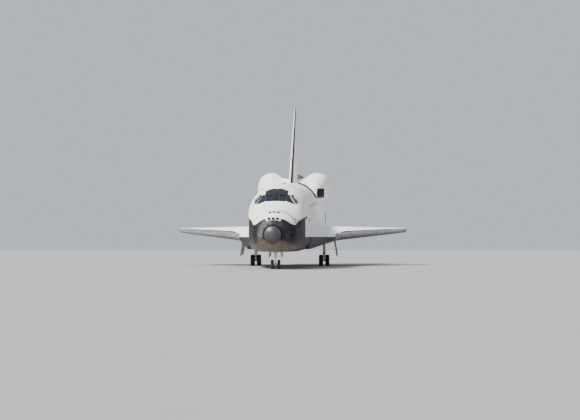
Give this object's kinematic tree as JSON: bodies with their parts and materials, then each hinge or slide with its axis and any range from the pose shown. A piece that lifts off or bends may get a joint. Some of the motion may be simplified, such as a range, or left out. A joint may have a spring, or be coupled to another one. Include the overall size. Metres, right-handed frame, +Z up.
{
  "type": "space shuttle orbiter",
  "caption": "Winged space shuttle orbiter parked on its landing gear, with opening payload bay doors, crew hatch, moving control surfaces, swivelling engines and rolling wheels.",
  "frame": {"origin": "on the ground below the middle of the bounding box", "axes": "+Z up, nose towards -Y, port side towards +X"},
  "size_m": [23.79, 36.3258, 17.2784],
  "materials": {
    "nose_carbon": "smooth dark carbon with a soft sheen",
    "edge_carbon": "grey carbon panels with a soft sheen",
    "forward_tiles": "matt white blankets above, black tiles below",
    "mid_tiles": "matt white blankets above, black tiles below",
    "aft_tiles": "matt white blankets above, black tiles below",
    "door_skin": "matt white blankets outside, silver panels inside",
    "hatch_skin": "matt white tiles",
    "wing_tiles": "matt white blankets above, black tiles below",
    "elevon_tiles": "matt white blankets above, black tiles below",
    "fin_tiles": "matt white tiles with a dark front edge",
    "rudder_tiles": "matt white tiles",
    "hinge_tube": "dull metal",
    "flap_tiles": "matt black tiles",
    "base_tiles": "matt black tiles",
    "pod_skin": "matt white blankets",
    "engine_metal": "heat-tinted metal",
    "window_glass": "dark tinted glass",
    "deck_grey": "satin grey",
    "seat_cloth": "woven cloth",
    "gear_metal": "satin white enamel",
    "hub_metal": "satin metal",
    "gear_door_skin": "white inside, dark tiles outside",
    "tyre": "matt rubber"
  },
  "bodies": {
    "airframe": {"nose_cap": "nose_carbon", "forward_fuselage": "forward_tiles", "windshield_pane_1": "window_glass", "windshield_pane_2": "window_glass", "windshield_pane_3": "window_glass", "windshield_pane_4": "window_glass", "windshield_pane_5": "window_glass", "windshield_pane_6": "window_glass", "overhead_pane_port": "window_glass", "overhead_pane_starboard": "window_glass", "flight_deck": "deck_grey", "seat_port": "seat_cloth", "seat_starboard": "seat_cloth", "mid_fuselage": "mid_tiles", "aft_fuselage": "aft_tiles", "base_heat_shield": "base_tiles", "wing_port": "wing_tiles", "wing_leading_edge_port": "edge_carbon", "wing_starboard": "wing_tiles", "wing_leading_edge_starboard": "edge_carbon", "fin": "fin_tiles", "oms_pod_port": "pod_skin", "oms_pod_starboard": "pod_skin", "nose_gear_strut": "gear_metal", "main_gear_strut_port": "gear_metal", "main_gear_strut_starboard": "gear_metal", "nose_gear_door_port": "gear_door_skin", "main_gear_door_port": "gear_door_skin", "nose_gear_door_starboard": "gear_door_skin", "main_gear_door_starboard": "gear_door_skin"},
    "payload_door_port": {"payload_door_port": "door_skin"},
    "payload_door_starboard": {"payload_door_starboard": "door_skin"},
    "side_hatch": {"side_hatch": "hatch_skin", "hatch_pane": "window_glass"},
    "elevon_inboard_port": {"elevon_inboard_port": "elevon_tiles"},
    "elevon_outboard_port": {"elevon_outboard_port": "elevon_tiles"},
    "elevon_inboard_starboard": {"elevon_inboard_starboard": "elevon_tiles"},
    "elevon_outboard_starboard": {"elevon_outboard_starboard": "elevon_tiles"},
    "rudder": {"rudder_tube": "hinge_tube"},
    "rudder_half_port": {"rudder_half_port": "rudder_tiles"},
    "rudder_half_starboard": {"rudder_half_starboard": "rudder_tiles"},
    "body_flap": {"body_flap": "flap_tiles"},
    "main_engine_upper": {"main_engine_upper": "engine_metal"},
    "main_engine_port": {"main_engine_port": "engine_metal"},
    "main_engine_starboard": {"main_engine_starboard": "engine_metal"},
    "oms_engine_port": {"oms_engine_port": "engine_metal"},
    "oms_engine_starboard": {"oms_engine_starboard": "engine_metal"},
    "nose_fork": {"nose_gear_fork": "gear_metal"},
    "nose_wheels": {"nose_hubs": "hub_metal", "nose_tyre_port": "tyre", "nose_tyre_starboard": "tyre"},
    "main_wheels_port": {"main_hubs_port": "hub_metal", "main_tyre_inner_port": "tyre", "main_tyre_outer_port": "tyre"},
    "main_wheels_starboard": {"main_hubs_starboard": "hub_metal", "main_tyre_inner_starboard": "tyre", "main_tyre_outer_starboard": "tyre"}
  },
  "joints": [
    {"name": "payload_door_port_hinge", "type": "hinge", "parent": "airframe", "child": "payload_door_port", "pos_m": [2.64, -9.566, 5.39841], "axis": [0, 0.9981, 0.061], "range_deg": [0, 175.5]},
    {"name": "payload_door_starboard_hinge", "type": "hinge", "parent": "airframe", "child": "payload_door_starboard", "pos_m": [-2.64, -9.566, 5.39841], "axis": [0, -0.9981, -0.061], "range_deg": [0, 175.5]},
    {"name": "side_hatch_hinge", "type": "hinge", "parent": "airframe", "child": "side_hatch", "pos_m": [2.52, -12.28989, 3.28217], "axis": [0, 0.9981, 0.061], "range_deg": [0, 90]},
    {"name": "elevon_inboard_port_hinge", "type": "hinge", "parent": "airframe", "child": "elevon_inboard_port", "pos_m": [3.734, 11.0533, 3.2061], "axis": [0.9984, -0.0034, 0.0558], "range_deg": [-18, 33]},
    {"name": "elevon_outboard_port_hinge", "type": "hinge", "parent": "airframe", "child": "elevon_outboard_port", "pos_m": [3.734, 11.0533, 3.2061], "axis": [0.9984, -0.0034, 0.0558], "range_deg": [-18, 33]},
    {"name": "elevon_inboard_starboard_hinge", "type": "hinge", "parent": "airframe", "child": "elevon_inboard_starboard", "pos_m": [-3.734, 11.0533, 3.2061], "axis": [0.9984, 0.0034, -0.0558], "range_deg": [-18, 33]},
    {"name": "elevon_outboard_starboard_hinge", "type": "hinge", "parent": "airframe", "child": "elevon_outboard_starboard", "pos_m": [-3.734, 11.0533, 3.2061], "axis": [0.9984, 0.0034, -0.0558], "range_deg": [-18, 33]},
    {"name": "rudder_hinge", "type": "hinge", "parent": "airframe", "child": "rudder", "pos_m": [0, 13.17709, 10.67468], "axis": [0, 0.5199, 0.8543], "range_deg": [-27.1, 27.1]},
    {"name": "speed_brake_port_hinge", "type": "hinge", "parent": "rudder", "child": "rudder_half_port", "pos_m": [0, 13.17709, 10.67468], "axis": [0, -0.5199, -0.8543], "range_deg": [0, 49.3]},
    {"name": "speed_brake_starboard_hinge", "type": "hinge", "parent": "rudder", "child": "rudder_half_starboard", "pos_m": [0, 13.17709, 10.67468], "axis": [0, 0.5199, 0.8543], "range_deg": [0, 49.3]},
    {"name": "body_flap_hinge", "type": "hinge", "parent": "airframe", "child": "body_flap", "pos_m": [0, 14.71826, 3.6136], "axis": [1, 0, 0], "range_deg": [-22.5, 11.7]},
    {"name": "main_engine_upper_gimbal", "type": "hinge", "parent": "airframe", "child": "main_engine_upper", "pos_m": [0, 12.2705, 7.43329], "axis": [1, 0, 0], "range_deg": [-10.5, 10.5]},
    {"name": "main_engine_port_gimbal", "type": "hinge", "parent": "airframe", "child": "main_engine_port", "pos_m": [1.346, 13.00909, 4.9237], "axis": [1, 0, 0], "range_deg": [-10.5, 10.5]},
    {"name": "main_engine_starboard_gimbal", "type": "hinge", "parent": "airframe", "child": "main_engine_starboard", "pos_m": [-1.346, 13.00909, 4.9237], "axis": [1, 0, 0], "range_deg": [-10.5, 10.5]},
    {"name": "oms_engine_port_gimbal", "type": "hinge", "parent": "airframe", "child": "oms_engine_port", "pos_m": [2.235, 14.44178, 8.65813], "axis": [1, 0, 0], "range_deg": [-6, 6]},
    {"name": "oms_engine_starboard_gimbal", "type": "hinge", "parent": "airframe", "child": "oms_engine_starboard", "pos_m": [-2.235, 14.44178, 8.65813], "axis": [1, 0, 0], "range_deg": [-6, 6]},
    {"name": "nose_gear_steering", "type": "hinge", "parent": "airframe", "child": "nose_fork", "pos_m": [0, -14.45237, 0.4065], "axis": [0, -0.061, 0.9981], "range_deg": [-10, 10]},
    {"name": "nose_wheels_spin", "type": "hinge", "parent": "nose_fork", "child": "nose_wheels", "pos_m": [0, -14.45237, 0.4065], "axis": [1, 0, 0], "continuous": true},
    {"name": "main_wheels_port_spin", "type": "hinge", "parent": "airframe", "child": "main_wheels_port", "pos_m": [3.456, 5.41902, 0.565], "axis": [1, 0, 0], "continuous": true},
    {"name": "main_wheels_starboard_spin", "type": "hinge", "parent": "airframe", "child": "main_wheels_starboard", "pos_m": [-3.456, 5.41902, 0.565], "axis": [1, 0, 0], "continuous": true}
  ]
}
